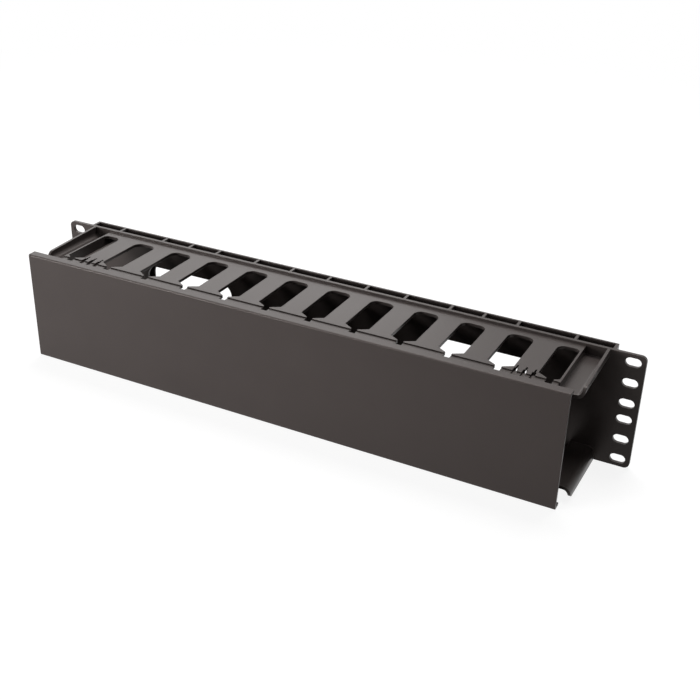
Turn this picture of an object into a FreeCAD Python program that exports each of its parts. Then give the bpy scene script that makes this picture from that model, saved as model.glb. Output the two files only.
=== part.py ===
import FreeCAD, Part
import math
import os
import Sketcher

# Horizontal cable manager for a 19-inch rack, two units high: a moulded finger duct that is
# bolted to the rack by its ears, and a front cover that swings up on moulded hinge bars.
# Frame: X along the duct, +Y into the rack, +Z up, origin in the middle of the ears' rear
# face. Millimetres throughout.

SIZES = {
    # Rack pattern: the column span of the ear holes and the height of one rack unit
    "ear_hole_span": 465.1,
    "rack_unit": 44.45,
    "panel_gap": 0.8,
    # Panel with the rack ears; the duct ends inside the hole columns
    "ear_edge": 8.75,
    "ear_inset": 13.0,
    "panel_thickness": 2.5,
    "panel_corner_radius": 4.0,
    "ear_hole_width": 11.0,
    "ear_hole_height": 6.8,
    # Double back: a second wall carried on cross ribs
    "back_gap": 6.9,
    "back_wall": 1.4,
    "rib_thickness": 2.0,
    "rib_pitch": 31.8,
    "rib_outer_inset": 28.2,
    "web_thickness": 2.0,
    # Two windows through the double back, with short ribs over and under them
    "window_inset": 54.8,
    "window_width": 81.0,
    "window_height": 42.0,
    "window_radius": 10.0,
    "window_rib_pitch": 25.4,
    # Finger plates, above and below the cable channel, with a lowered lip at the tips
    "plate_drop": 1.75,
    "plate_thickness": 2.3,
    "finger_reach": 70.2,
    "lip_reach": 10.7,
    "lip_thickness": 1.5,
    "lip_clearance": 0.55,
    # Fingers, and the slots that the pitch leaves between them
    "finger_width": 16.6,
    "slot_start": 10.0,
    "slot_radius": 6.0,
    "head_reach": 16.2,
    "neck_reach": 12.0,
    "neck_width": 4.8,
    "end_slot_half": 5.8,
    # End fingers: open trays with a rounded outer corner and a rim that falls to the front
    "tray_inset": 3.2,
    "tray_width": 18.0,
    "tray_inner_wall": 1.5,
    "tray_rim_width": 2.0,
    "tray_floor_drop": 6.0,
    "tray_floor_thickness": 2.3,
    "tray_rim_fall": 2.0,
    "tray_setback": 10.2,
    "tray_corner_radius": 5.5,
    "tray_nose_radius": 5.0,
    # Hinge sites: three notches across a moulded bar
    "hinge_pitch": 6.2,
    "notch_width": 2.8,
    "notch_reach": 15.0,
    "slit_width": 1.2,
    "slit_length": 4.0,
    "bar_diameter": 3.0,
    "bar_setback": 11.0,
    "bar_drop": 2.6,
    "lug_wall": 1.5,
    # Cover with returned long edges and a hook for each notch
    "cover_short": 5.8,
    "cover_shift": -5.7,
    "cover_gap": 2.3,
    "cover_thickness": 2.0,
    "cover_return": 7.0,
    "cover_edge_radius": 1.2,
    "hook_width": 2.2,
    "hook_clearance": 0.25,
    "hook_wall": 1.5,
    "hook_jaw": 2.2,
    "hook_arm": 3.6,
}


class Size:
    """A length, together with the sheet expression that gives it."""

    def __init__(self, value, text):
        self.value = float(value)
        self.text = text

    def __add__(self, other):
        other = as_size(other)
        return Size(self.value + other.value, f"({self.text} + {other.text})")

    def __sub__(self, other):
        other = as_size(other)
        return Size(self.value - other.value, f"({self.text} - {other.text})")

    def __mul__(self, other):
        other = as_size(other)
        return Size(self.value * other.value, f"({self.text} * {other.text})")

    def __truediv__(self, other):
        other = as_size(other)
        return Size(self.value / other.value, f"({self.text} / {other.text})")

    def __neg__(self):
        return Size(-self.value, f"(0 - {self.text})")


def as_size(thing):
    """Plain numbers join in sums as constants."""
    return thing if isinstance(thing, Size) else Size(thing, f"({thing})")


doc = FreeCAD.newDocument("cable_manager")
sheet = doc.addObject("Spreadsheet::Sheet", "sheet")
for row, (alias, number) in enumerate(SIZES.items(), start=1):
    sheet.set(f"A{row}", alias)
    sheet.set(f"B{row}", str(number))
    sheet.setAlias(f"B{row}", alias)
doc.recompute()


def size(alias):
    """The named size as the sheet holds it."""
    return Size(SIZES[alias], f"sheet.{alias}")


def new_body(name):
    body = doc.addObject("PartDesign::Body", name)
    body.Label = name
    body.Placement = FreeCAD.Placement()
    return body


def new_sketch(body, name, role, offset=None):
    """A sketch on one of the body's own origin planes, moved along its normal."""
    sketch = body.newObject("Sketcher::SketchObject", name)
    plane = next(item for item in body.Origin.OriginFeatures if item.Role == role)
    sketch.AttachmentSupport = (plane, [""])
    sketch.MapMode = "FlatFace"
    if offset is not None:
        sketch.AttachmentOffset = FreeCAD.Placement(
            FreeCAD.Vector(0, 0, offset.value), FreeCAD.Rotation())
        sketch.setExpression("AttachmentOffset.Base.z", offset.text)
    return sketch


def pin_point(sketch, item, end, x, y):
    """Hold one point of the sketch at (x, y), both bound to the sheet."""
    for kind, length in (("DistanceX", x), ("DistanceY", y)):
        number = sketch.addConstraint(
            Sketcher.Constraint(kind, -1, 1, item, end, length.value))
        sketch.setExpression(f"Constraints[{number}]", length.text)


def add_outline(sketch, corners):
    """A closed outline; each corner is (x, y) or (x, y, radius) for a rounded one."""
    corners = [tuple(as_size(part) for part in corner) for corner in corners]
    spots = [FreeCAD.Vector(corner[0].value, corner[1].value, 0) for corner in corners]
    count = len(corners)

    def trimmed(index, towards):
        """Where a straight side ends: at its corner, or where the corner's arc begins."""
        if len(corners[index]) == 2:
            return spots[index]
        before = (spots[index - 1] - spots[index]).normalize()
        after = (spots[(index + 1) % count] - spots[index]).normalize()
        back = corners[index][2].value / math.tan(before.getAngle(after) / 2)
        direction = (spots[towards] - spots[index]).normalize()
        return spots[index] + direction * back

    sides = []
    for index in range(count):
        following = (index + 1) % count
        sides.append(sketch.addGeometry(
            Part.LineSegment(trimmed(index, following), trimmed(following, index)), False))
    for index, corner in enumerate(corners):
        arriving, leaving = sides[index - 1], sides[index]
        if len(corner) == 2:
            sketch.addConstraint(Sketcher.Constraint("Coincident", arriving, 2, leaving, 1))
            pin_point(sketch, leaving, 1, corner[0], corner[1])
            continue
        first = trimmed(index, index - 1)
        last = trimmed(index, (index + 1) % count)
        radius = corner[2]
        inward = ((first + last) / 2 - spots[index]).normalize()
        centre = spots[index] + inward * math.hypot(
            radius.value, (first - spots[index]).Length)
        anticlockwise = (first - centre).cross(last - centre).z > 0
        begin, finish = (first, last) if anticlockwise else (last, first)
        angles = [math.atan2(end.y - centre.y, end.x - centre.x) for end in (begin, finish)]
        if angles[1] < angles[0]:
            angles[1] += 2 * math.pi
        arc = sketch.addGeometry(Part.ArcOfCircle(
            Part.Circle(centre, FreeCAD.Vector(0, 0, 1), radius.value), *angles), False)
        start, stop = (1, 2) if anticlockwise else (2, 1)
        sketch.addConstraint(Sketcher.Constraint("Tangent", arriving, 2, arc, start))
        sketch.addConstraint(Sketcher.Constraint("Tangent", leaving, 1, arc, stop))
        number = sketch.addConstraint(Sketcher.Constraint("Radius", arc, radius.value))
        sketch.setExpression(f"Constraints[{number}]", radius.text)
        mark = sketch.addGeometry(Part.Point(spots[index]), True)
        sketch.addConstraint(Sketcher.Constraint("PointOnObject", mark, 1, arriving))
        sketch.addConstraint(Sketcher.Constraint("PointOnObject", mark, 1, leaving))
        pin_point(sketch, mark, 1, corner[0], corner[1])


def add_box(sketch, left, low, right, high, radius=None):
    """A rectangle, with all four corners rounded where a radius is given."""
    tail = () if radius is None else (radius,)
    add_outline(sketch, [(left, low) + tail, (right, low) + tail,
                         (right, high) + tail, (left, high) + tail])


def add_circle(sketch, x, y, diameter):
    round_edge = sketch.addGeometry(Part.Circle(
        FreeCAD.Vector(x.value, y.value, 0), FreeCAD.Vector(0, 0, 1), diameter.value / 2), False)
    pin_point(sketch, round_edge, 3, x, y)
    number = sketch.addConstraint(
        Sketcher.Constraint("Diameter", round_edge, diameter.value))
    sketch.setExpression(f"Constraints[{number}]", diameter.text)


def add_oval(sketch, x, y, half_run, radius):
    """A slotted hole lying along X: two half circles and two straight sides."""
    centres = (x - half_run + radius, x + half_run - radius)
    quarter = math.pi / 2
    arcs = []
    for centre, turn in zip(centres, (quarter, -quarter)):
        circle = Part.Circle(FreeCAD.Vector(centre.value, y.value, 0),
                             FreeCAD.Vector(0, 0, 1), radius.value)
        arcs.append(sketch.addGeometry(
            Part.ArcOfCircle(circle, turn, turn + 2 * quarter), False))
    left, right = arcs
    sides = []
    for level in (y.value + radius.value, y.value - radius.value):
        sides.append(sketch.addGeometry(Part.LineSegment(
            FreeCAD.Vector(centres[0].value, level, 0),
            FreeCAD.Vector(centres[1].value, level, 0)), False))
    top, bottom = sides
    for arc, end, line, point in ((left, 1, top, 1), (left, 2, bottom, 1),
                                  (right, 2, top, 2), (right, 1, bottom, 2)):
        sketch.addConstraint(Sketcher.Constraint("Tangent", arc, end, line, point))
    for arc, centre in zip(arcs, centres):
        pin_point(sketch, arc, 3, centre, y)
    number = sketch.addConstraint(Sketcher.Constraint("Radius", left, radius.value))
    sketch.setExpression(f"Constraints[{number}]", radius.text)


def add_feature(body, kind, name, sketch, length=None, both_ways=False, reverse=False):
    """A pad or pocket of the sketch; without a length a pocket goes through everything."""
    feature = body.newObject(f"PartDesign::{kind}", name)
    feature.Profile = sketch
    feature.Midplane = both_ways
    feature.Reversed = reverse
    if length is None:
        feature.Type = "ThroughAll"
    else:
        feature.Length = length.value
        feature.setExpression("Length", length.text)
    sketch.Visibility = False
    body.Tip = feature
    doc.recompute()
    return feature


def repeat(body, name, originals, row=None, planes=()):
    """Repeat features in a row along X and mirror them in the body's origin planes."""
    group = body.newObject("PartDesign::MultiTransform", name)
    group.Originals = originals
    steps = []
    roles = {item.Role: item for item in body.Origin.OriginFeatures}
    if row is not None:
        length, number = row
        line = body.newObject("PartDesign::LinearPattern", f"{name}_row")
        line.Direction = (roles["X_Axis"], [""])
        line.Length = length.value
        line.setExpression("Length", length.text)
        line.Occurrences = number
        steps.append(line)
    for role in planes:
        mirror = body.newObject("PartDesign::Mirrored", f"{name}_{role}")
        mirror.MirrorPlane = (roles[role], [""])
        steps.append(mirror)
    group.Transformations = steps
    body.Tip = group
    doc.recompute()
    return group


SLOTS = 10
HOOKS_PER_SITE = 3

# Lines and levels that several features share
hole_column = size("ear_hole_span") / 2
panel_side = hole_column + size("ear_edge")
panel_edge = size("rack_unit") - size("panel_gap") / 2
duct_side = hole_column - size("ear_inset")
panel_middle = -size("panel_thickness") / 2
back_middle = size("back_gap") + size("back_wall") / 2
tray_outside = duct_side - size("tray_inset")
tray_side = tray_outside - size("tray_width")
slot_pitch = (tray_side - size("end_slot_half")) * 2 / (SLOTS + 1)
slot_half = (slot_pitch - size("finger_width")) / 2
tip = -size("finger_reach")
plate_top = panel_edge - size("plate_drop")
plate_under = plate_top - size("plate_thickness")
lip_back = tip + size("lip_reach")
lip_top = panel_edge - size("cover_thickness") - size("lip_clearance")
hinge_site = slot_pitch * (SLOTS / 2)
notch_start = tip + size("notch_reach")
bar_line = tip + size("bar_setback")
bar_level = plate_under - size("bar_drop")
bar_half = size("hinge_pitch") * 2 - size("notch_width") / 2
cover_inside = tip - size("cover_gap")
cover_front = cover_inside - size("cover_thickness")


def build_base():
    body = new_body("duct_base")
    build_panel(body)
    build_back(body)
    build_plates(body)
    build_trays(body)
    build_hinges(body)
    return body


def build_panel(body):
    """The flat panel whose ends are the rack ears, with six slotted holes in each."""
    sketch = new_sketch(body, "panel_outline", "XZ_Plane")
    add_box(sketch, -panel_side, -panel_edge, panel_side, panel_edge,
            size("panel_corner_radius"))
    add_feature(body, "Pad", "panel", sketch, size("panel_thickness"))

    # A rack unit has its holes at one, three and a half, and six sevenths of its height
    sketch = new_sketch(body, "ear_holes_outline", "XZ_Plane")
    for sevenths in (1, 3.5, 6):
        add_oval(sketch, hole_column, size("rack_unit") * sevenths / 7,
                 size("ear_hole_width") / 2, size("ear_hole_height") / 2)
    holes = add_feature(body, "Pocket", "ear_holes", sketch, both_ways=True)
    repeat(body, "all_ear_holes", [holes], planes=("YZ_Plane", "XY_Plane"))


def build_back(body):
    """The second wall behind the panel, its cross ribs, a middle web and two windows."""
    sketch = new_sketch(body, "back_wall_outline", "XZ_Plane", -size("back_gap"))
    add_box(sketch, -duct_side, -panel_edge, duct_side, panel_edge)
    add_feature(body, "Pad", "back_wall", sketch, size("back_wall"), reverse=True)

    # Cross ribs from the panel to the back wall, over the whole height
    sketch = new_sketch(body, "ribs_outline", "XY_Plane")
    half_rib = size("rib_thickness") / 2
    half_window = size("window_width") / 2
    window = duct_side - size("window_inset") - half_window
    inner = size("rib_pitch")
    short = size("window_rib_pitch")
    lines = [inner, inner * 2, window - short, window, window + short,
             duct_side - size("rib_outer_inset"), duct_side - half_rib]
    for line in [-line for line in lines] + [as_size(0)] + lines:
        add_box(sketch, line - half_rib, panel_middle, line + half_rib, back_middle)
    add_feature(body, "Pad", "ribs", sketch, panel_edge * 2, both_ways=True)

    # The web half way up closes the pockets between the ribs
    sketch = new_sketch(body, "web_outline", "XY_Plane")
    add_box(sketch, -duct_side, panel_middle, duct_side, back_middle)
    add_feature(body, "Pad", "web", sketch, size("web_thickness"), both_ways=True)

    sketch = new_sketch(body, "window_outline", "XZ_Plane")
    half_height = size("window_height") / 2
    add_box(sketch, window - half_window, -half_height, window + half_window, half_height,
            size("window_radius"))
    opening = add_feature(body, "Pocket", "window", sketch, both_ways=True)
    repeat(body, "windows", [opening], planes=("YZ_Plane",))


def build_plates(body):
    """Upper and lower finger plates, with a lowered lip under the cover's return edge."""
    span = (tray_side + size("tray_inner_wall") / 2) * 2
    sketch = new_sketch(body, "plates_outline", "YZ_Plane")
    for up in (1, -1):
        add_box(sketch, panel_middle, plate_under * up, lip_back, plate_top * up)
    add_feature(body, "Pad", "plates", sketch, span, both_ways=True)

    sketch = new_sketch(body, "lips_outline", "YZ_Plane")
    lip_under = lip_top - size("lip_thickness")
    inside = lip_back + size("lip_thickness")
    for up in (1, -1):
        add_box(sketch, tip, lip_under * up, inside, lip_top * up)
    add_feature(body, "Pad", "lips", sketch, span, both_ways=True)

    # Slots: a wide run with rounded inner corners, shoulders, and a narrow neck to the front
    sketch = new_sketch(body, "slot_outline", "XY_Plane")
    add_slot(sketch, -slot_pitch * (SLOTS - 1) / 2, slot_half, slot_half)
    slot = add_feature(body, "Pocket", "slot", sketch, both_ways=True)
    repeat(body, "slots", [slot], row=(slot_pitch * (SLOTS - 1), SLOTS))

    # The last slot on each side is cut short by the tray's inner wall
    sketch = new_sketch(body, "end_slot_outline", "XY_Plane")
    add_slot(sketch, slot_pitch * (SLOTS + 1) / 2, slot_half, size("end_slot_half"))
    slot = add_feature(body, "Pocket", "end_slot", sketch, both_ways=True)
    repeat(body, "end_slots", [slot], planes=("YZ_Plane",))


def add_slot(sketch, centre, left, right):
    """One slot between two fingers; left and right are its half widths."""
    start = -size("slot_start")
    radius = size("slot_radius")
    neck = tip + size("neck_reach")
    neck_half = size("neck_width") / 2
    slope = (size("head_reach") - size("neck_reach")) / (slot_half - neck_half)
    left_shoulder = neck + slope * (left - neck_half)
    right_shoulder = neck + slope * (right - neck_half)
    right_radius = radius * right / left
    past_tip = tip - 1
    add_outline(sketch, [
        (centre - left, start, radius), (centre - left, left_shoulder),
        (centre - neck_half, neck), (centre - neck_half, past_tip),
        (centre + neck_half, past_tip), (centre + neck_half, neck),
        (centre + right, right_shoulder), (centre + right, start, right_radius)])


def build_trays(body):
    """End fingers: an inner wall, a lowered floor and a rim, open at the top and the front."""
    corners = ("YZ_Plane", "XY_Plane")
    front = tip + size("tray_setback")
    floor = plate_top - size("tray_floor_drop")
    under = floor - size("tray_floor_thickness")
    wall_side = tray_side + size("tray_inner_wall")
    rim_side = tray_outside - size("tray_rim_width")
    corner = size("tray_corner_radius")
    sketch = new_sketch(body, "tray_outline", "XZ_Plane", -panel_middle)
    add_outline(sketch, [
        (tray_side, plate_top), (tray_side, under), (tray_outside, under, corner),
        (tray_outside, panel_edge), (rim_side, panel_edge),
        (rim_side, floor, corner - size("tray_rim_width")), (wall_side, floor),
        (wall_side, plate_top)])
    tray = add_feature(body, "Pad", "tray", sketch, panel_middle - front)
    repeat(body, "trays", [tray], planes=corners)

    # The rim falls from the panel to the front, and its front end is rounded off
    sketch = new_sketch(body, "rim_fall_outline", "YZ_Plane", wall_side)
    root = -size("panel_thickness")
    above = panel_edge + 1
    ahead = front - 1
    add_outline(sketch, [
        (root, panel_edge), (root, above), (ahead, above), (ahead, under), (front, under),
        (front, panel_edge - size("tray_rim_fall"), size("tray_nose_radius"))])
    fall = add_feature(body, "Pocket", "rim_fall", sketch, reverse=True)
    repeat(body, "rim_falls", [fall], planes=corners)


def build_hinges(body):
    """Moulded bars under the fingers, crossed by three notches at each hinge site."""
    corners = ("YZ_Plane", "XY_Plane")
    reach = size("bar_diameter") / 2 + size("lug_wall")
    plate_middle = plate_under + size("plate_thickness") / 2
    sketch = new_sketch(body, "lug_outline", "YZ_Plane", hinge_site)
    flat = reach / 2
    lug_back = notch_start + size("lug_wall")
    add_outline(sketch, [
        (bar_line - reach, plate_middle), (bar_line - reach, bar_level - flat),
        (bar_line - flat, bar_level - reach), (lug_back, bar_level - reach),
        (lug_back, plate_middle)])
    lug = add_feature(body, "Pad", "lug", sketch, bar_half * 2, both_ways=True)
    repeat(body, "lugs", [lug], planes=corners)

    sketch = new_sketch(body, "notch_outline", "XY_Plane")
    first = hinge_site - size("hinge_pitch")
    half = size("notch_width") / 2
    slit_half = size("slit_width") / 2
    slit_start = notch_start + size("slit_length")
    past_tip = tip - 1
    add_outline(sketch, [
        (first - slit_half, slit_start), (first - slit_half, notch_start),
        (first - half, notch_start), (first - half, past_tip), (first + half, past_tip),
        (first + half, notch_start), (first + slit_half, notch_start),
        (first + slit_half, slit_start)])
    notch = add_feature(body, "Pocket", "notch", sketch, both_ways=True)
    repeat(body, "notches", [notch], row=(size("hinge_pitch") * 2, HOOKS_PER_SITE),
           planes=("YZ_Plane",))

    sketch = new_sketch(body, "bar_outline", "YZ_Plane", hinge_site)
    add_circle(sketch, bar_line, bar_level, size("bar_diameter"))
    bar = add_feature(body, "Pad", "bar", sketch, bar_half * 2, both_ways=True)
    repeat(body, "bars", [bar], planes=corners)


def build_cover():
    """The front cover: a long channel with returned edges, and the hooks behind it."""
    body = new_body("cover")
    wall = size("cover_thickness")
    back = cover_front + size("cover_return")
    edge = size("cover_edge_radius")
    inside_edge = panel_edge - wall
    sketch = new_sketch(body, "cover_outline", "YZ_Plane", size("cover_shift"))
    add_outline(sketch, [
        (back, panel_edge), (cover_front, panel_edge, edge),
        (cover_front, -panel_edge, edge), (back, -panel_edge), (back, -inside_edge),
        (cover_inside, -inside_edge), (cover_inside, inside_edge), (back, inside_edge)])
    add_feature(body, "Pad", "channel", sketch, duct_side * 2 - size("cover_short"),
                both_ways=True)

    # A hook is an arm that ends in two jaws, which reach round the bar from the front; the
    # throat between them is half of an octagon drawn round the bar with its clearance
    sketch = new_sketch(body, "hook_outline", "YZ_Plane", hinge_site - size("hinge_pitch"))
    bore = size("bar_diameter") / 2 + size("hook_clearance")
    outside = bore + size("hook_wall")
    arm = size("hook_arm") / 2
    root = cover_inside - wall / 2
    jaw = bar_line + size("hook_jaw")
    heel = bar_line - outside
    toe = bar_line - arm
    flat = bore * math.tan(math.pi / 8)
    add_outline(sketch, [
        (root, bar_level - arm), (heel, bar_level - arm), (toe, bar_level - outside),
        (jaw, bar_level - outside), (jaw, bar_level - bore),
        (bar_line - flat, bar_level - bore), (bar_line - bore, bar_level - flat),
        (bar_line - bore, bar_level + flat), (bar_line - flat, bar_level + bore),
        (jaw, bar_level + bore), (jaw, bar_level + outside),
        (toe, bar_level + outside), (heel, bar_level + arm), (root, bar_level + arm)])
    hook = add_feature(body, "Pad", "hook", sketch, size("hook_width"), both_ways=True)
    repeat(body, "hooks", [hook], row=(size("hinge_pitch") * 2, HOOKS_PER_SITE),
           planes=("YZ_Plane", "XY_Plane"))
    return body


def check_and_write(bodies):
    """Stop if anything failed to build; otherwise write one STEP file for each body."""
    doc.recompute()
    for item in doc.Objects:
        if {"Invalid", "Error"} & set(item.State):
            raise RuntimeError(f"{item.Name}: {item.State}")
    os.makedirs("parts", exist_ok=True)
    for body in bodies:
        shape = body.Shape
        if shape.isNull() or not shape.isValid() or len(shape.Solids) != 1:
            raise RuntimeError(f"{body.Label}: the shape is not one valid solid")
        shape.exportStep(f"parts/{body.Label}.step")
        print(body.Label, round(shape.Volume), "mm3,", len(shape.Faces), "faces")


check_and_write([build_base(), build_cover()])
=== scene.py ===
import math
import bmesh
import bpy
from mathutils import Matrix, Vector


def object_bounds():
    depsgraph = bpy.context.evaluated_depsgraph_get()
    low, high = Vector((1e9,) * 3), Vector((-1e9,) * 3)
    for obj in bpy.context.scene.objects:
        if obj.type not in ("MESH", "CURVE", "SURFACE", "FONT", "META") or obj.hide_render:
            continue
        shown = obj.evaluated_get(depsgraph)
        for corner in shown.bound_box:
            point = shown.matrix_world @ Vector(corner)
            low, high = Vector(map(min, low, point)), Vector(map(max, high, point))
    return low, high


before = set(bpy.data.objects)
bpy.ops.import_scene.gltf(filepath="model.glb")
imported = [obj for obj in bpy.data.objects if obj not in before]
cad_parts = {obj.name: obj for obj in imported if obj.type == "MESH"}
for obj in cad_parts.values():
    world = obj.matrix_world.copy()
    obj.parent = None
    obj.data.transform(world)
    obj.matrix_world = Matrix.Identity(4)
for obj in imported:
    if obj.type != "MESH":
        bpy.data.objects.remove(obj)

cad_low, cad_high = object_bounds()
scene = bpy.context.scene


# ---------------------------------------------------------------------------
# Duct base: panel with rack ears, ribbed double back, finger plates, end trays and hinge
# bars, injection-moulded in one shot of black ABS. Its skin is a satin spark-eroded grain;
# the rack screws hold it by the slotted holes of the ears.
class Signal:
    """A node's output socket, which can be written in sums and products."""

    def __init__(self, board, socket):
        self.board = board
        self.socket = socket

    def output(self, name):
        """Another output of the node that this signal comes from."""
        return Signal(self.board, self.socket.node.outputs[name])

    def combine(self, operation, first, second):
        """A Math node on two signals or numbers."""
        return self.board.node("ShaderNodeMath", {"operation": operation}, [first, second])

    def __add__(self, other):
        return self.combine("ADD", self, other)

    def __radd__(self, other):
        return self.combine("ADD", other, self)

    def __mul__(self, other):
        return self.combine("MULTIPLY", self, other)

    def __rmul__(self, other):
        return self.combine("MULTIPLY", other, self)


class Board:
    """The node tree of a material or world, emptied and ready for its own shader."""

    def __init__(self, owner):
        owner.use_nodes = True
        self.tree = owner.node_tree
        self.tree.nodes.clear()

    def node(self, kind, settings, inputs, output=0):
        """Add a node: its settings first, then each input by its place or its name."""
        item = self.tree.nodes.new(kind)
        for key, value in settings.items():
            setattr(item, key, value)
        pairs = inputs.items() if isinstance(inputs, dict) else enumerate(inputs)
        for key, value in pairs:
            if isinstance(value, Signal):
                self.tree.links.new(value.socket, item.inputs[key])
            else:
                item.inputs[key].default_value = value
        return Signal(self, item.outputs[output]) if item.outputs else None

    def noise(self, scale, detail, stretch=(1.0, 1.0, 1.0)):
        """A grey noise in object space; the scale is in features for each metre."""
        place = self.node("ShaderNodeTexCoord", {}, [], "Object")
        turned = self.node("ShaderNodeMapping", {}, {"Vector": place, "Scale": stretch})
        return self.node("ShaderNodeTexNoise", {},
                         {"Vector": turned, "Scale": scale, "Detail": detail})


def moulded_black(name, dark, light, roughness, grain):
    """Satin black ABS: fine grain, slow changes of tone and sheen, softened edges."""
    material = bpy.data.materials.new(name)
    board = Board(material)

    # Tone: the melt's flow along the part, clouds in it, and the specks of the grain
    flow = board.noise(scale=9.0, detail=3.0, stretch=(0.35, 1.0, 1.0))
    cloud = board.noise(scale=38.0, detail=4.0)
    speck = board.noise(scale=2600.0, detail=1.0)
    flow_share, cloud_share, speck_share = 0.5, 0.3, 0.2
    tone = flow * flow_share + cloud * cloud_share + speck * speck_share
    colour_a, colour_b, colour_result = 6, 7, 2
    colour = board.node(
        "ShaderNodeMix", {"data_type": "RGBA"},
        {"Factor": tone, colour_a: dark + (1.0,), colour_b: light + (1.0,)}, colour_result)

    # Sheen: the roughness drifts with the clouds and the flow, about its stated middle
    cloud_swing, flow_swing = 0.06, 0.04
    least = roughness - (cloud_swing + flow_swing) / 2
    sheen = least + cloud * cloud_swing + flow * flow_swing

    # Skin: spark-eroded pits on a coarser swell, and edges rounded by half a millimetre
    pits = board.noise(scale=1500.0, detail=2.0)
    swell = board.noise(scale=520.0, detail=2.0)
    pit_share = 0.7
    skin = pits * pit_share + swell * (1.0 - pit_share)
    edge_radius = 0.0005
    edge = board.node("ShaderNodeBevel", {"samples": 4}, {"Radius": edge_radius})
    pit_depth = 0.00012
    bump = board.node("ShaderNodeBump", {},
                      {"Strength": grain, "Distance": pit_depth, "Height": skin,
                       "Normal": edge})

    shader = board.node("ShaderNodeBsdfPrincipled", {},
                        {"Base Color": colour, "Roughness": sheen, "Normal": bump,
                         "IOR": 1.5, "Specular IOR Level": 0.26,
                         "Specular Tint": (1.0, 0.905, 0.86, 1.0)})
    board.node("ShaderNodeOutputMaterial", {}, {"Surface": shader})
    return material


def dress(node, material):
    """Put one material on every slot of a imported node."""
    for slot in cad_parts[node].material_slots:
        slot.material = material


duct_dark = (0.0415, 0.0342, 0.0322)
duct_light = (0.0598, 0.0496, 0.0468)
dress("duct_base", moulded_black("duct_black", duct_dark, duct_light,
                                 roughness=0.34, grain=0.35))


# ---------------------------------------------------------------------------
# Cover: a long shallow channel with moulded hooks, made apart of the same black ABS. Its
# grain is a little coarser than the duct's; it snaps over the hinge bars with its hooks.
cover_dark = (0.0436, 0.0356, 0.0338)
cover_light = (0.0624, 0.0512, 0.0485)
dress("cover", moulded_black("cover_black", cover_dark, cover_light,
                             roughness=0.36, grain=0.45))


# ---------------------------------------------------------------------------
# Studio floor and air: a matte white board under the part, and white all round it. Both
# look white to the camera and in gloss, and give the part only a little light of their own.
def seen_directly(board):
    """1 for camera, gloss and transmission rays, 0 for the soft light between surfaces."""
    path = board.node("ShaderNodeLightPath", {}, [], "Is Camera Ray")
    return path + path.output("Is Glossy Ray") + path.output("Is Transmission Ray")


floor_half = 8.0
floor_mesh = bpy.data.meshes.new("floor")
sheet = bmesh.new()
bmesh.ops.create_grid(sheet, x_segments=1, y_segments=1, size=floor_half)
bmesh.ops.translate(sheet, verts=sheet.verts, vec=(0.0, 0.0, cad_low.z))
sheet.to_mesh(floor_mesh)
sheet.free()
floor_white = bpy.data.materials.new("floor_white")
board = Board(floor_white)

# Soft light finds a dim board. Seen directly, the board is white: near the part it is partly
# lit, so that the shadow shows, and far off it is as white as the air.
white = 1.0
near_glow = 0.88
lit_grey = (0.22, 0.22, 0.22, 1.0)
dim_grey = (0.12, 0.12, 0.12, 1.0)
paper = board.node("ShaderNodeBsdfDiffuse", {}, {"Color": dim_grey})
glow = board.node("ShaderNodeEmission", {}, {"Strength": near_glow})
veil = board.node("ShaderNodeBsdfDiffuse", {}, {"Color": lit_grey})
near = board.node("ShaderNodeAddShader", {}, [glow, veil])
far = board.node("ShaderNodeEmission", {}, {"Strength": white})
place = board.node("ShaderNodeTexCoord", {}, [], "Object")
reach = board.node("ShaderNodeVectorMath", {"operation": "LENGTH"}, [place], "Value")
near_end, far_start = 0.5, 1.2
fade = board.node("ShaderNodeMapRange", {},
                  {"Value": reach, "From Min": near_end, "From Max": far_start})
seen = board.node("ShaderNodeMixShader", {}, [fade, near, far])
surface = board.node("ShaderNodeMixShader", {}, [seen_directly(board), paper, seen])
board.node("ShaderNodeOutputMaterial", {}, {"Surface": surface})
floor_mesh.materials.append(floor_white)
floor_piece = bpy.data.objects.new("floor", floor_mesh)
scene.collection.objects.link(floor_piece)

air = bpy.data.worlds.new("studio_air")
scene.world = air
board = Board(air)
air_glow = 0.02
sky = board.node("ShaderNodeBackground", {},
                 {"Color": (1.0, 1.0, 1.0, 1.0),
                  "Strength": air_glow + seen_directly(board) * (white - air_glow)})
board.node("ShaderNodeOutputWorld", {}, {"Surface": sky})


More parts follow.
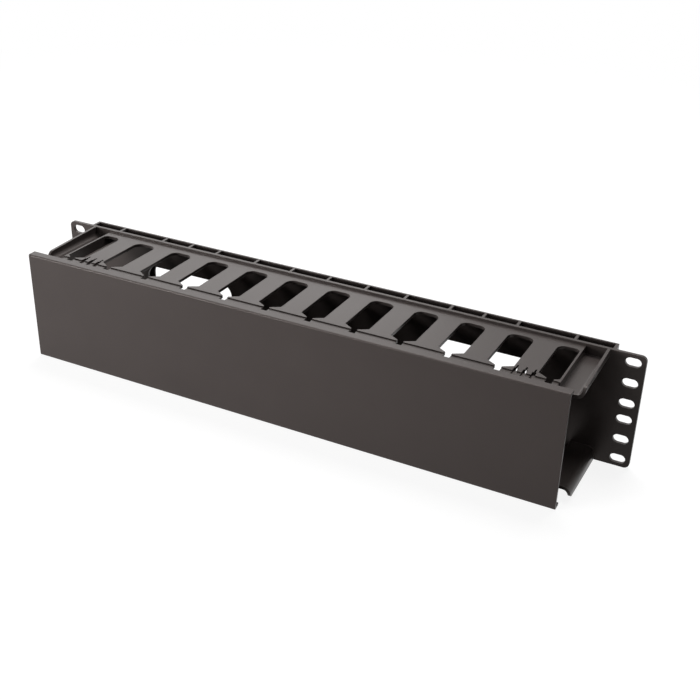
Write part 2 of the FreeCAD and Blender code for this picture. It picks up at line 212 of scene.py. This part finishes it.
# ---------------------------------------------------------------------------
# Studio lamps: a soft box in front to the left for the cover's face, a long one behind that
# puts a sheen on the upper faces, a wide one overhead, and a small one for the front edges.
def soft_box(name, place, target, width, height, power, spread=180.0):
    """A rectangular lamp that faces its target, with its power in watts."""
    lamp = bpy.data.lights.new(name, "AREA")
    lamp.shape = "RECTANGLE"
    lamp.size = width
    lamp.size_y = height
    lamp.energy = power
    lamp.spread = math.radians(spread)
    item = bpy.data.objects.new(name, lamp)
    item.location = place
    item.rotation_mode = "QUATERNION"
    item.rotation_quaternion = (Vector(target) - Vector(place)).to_track_quat("-Z", "Y")
    scene.collection.objects.link(item)


soft_box("left_box", place=(-0.75, -1.00, 0.15), target=(-0.09, -0.07, 0.00),
         width=0.50, height=0.40, power=1.6, spread=60.0)
soft_box("back_box", place=(-0.86, 1.05, 0.88), target=(-0.03, 0.00, 0.00),
         width=1.10, height=0.70, power=4.9)
soft_box("top_box", place=(0.00, 0.45, 1.20), target=(0.00, 0.00, 0.00),
         width=0.90, height=0.60, power=13.0)
soft_box("edge_box", place=(-0.52, -0.68, 1.00), target=(0.00, -0.07, 0.04),
         width=0.35, height=0.35, power=2.5)


# ---------------------------------------------------------------------------
# Camera: on a tripod in front of the part, to the right of it and above, as for a
# product view. It has a slight roll, and its lens is a little longer than a normal one.
camera_place = Vector((0.34571, -0.65689, 0.38123))
azimuth = math.radians(26.32)
elevation = math.radians(28.08)
roll = math.radians(1.67)
back = Vector((math.sin(azimuth) * math.cos(elevation),
               -math.cos(azimuth) * math.cos(elevation), math.sin(elevation)))
level_right = (-back).cross(Vector((0.0, 0.0, 1.0))).normalized()
level_up = back.cross(level_right)
right = level_right * math.cos(roll) + level_up * math.sin(roll)
up = level_up * math.cos(roll) - level_right * math.sin(roll)

camera_data = bpy.data.cameras.new("camera")
camera_data.sensor_width = 36.0
camera_data.lens = 55.90
camera_data.clip_start = 0.02
camera_data.clip_end = 60.0
camera = bpy.data.objects.new("camera", camera_data)
turn = Matrix((right, up, back)).transposed()
camera.matrix_world = Matrix.Translation(camera_place) @ turn.to_4x4()
scene.collection.objects.link(camera)
scene.camera = camera

scene.view_settings.view_transform = "Standard"
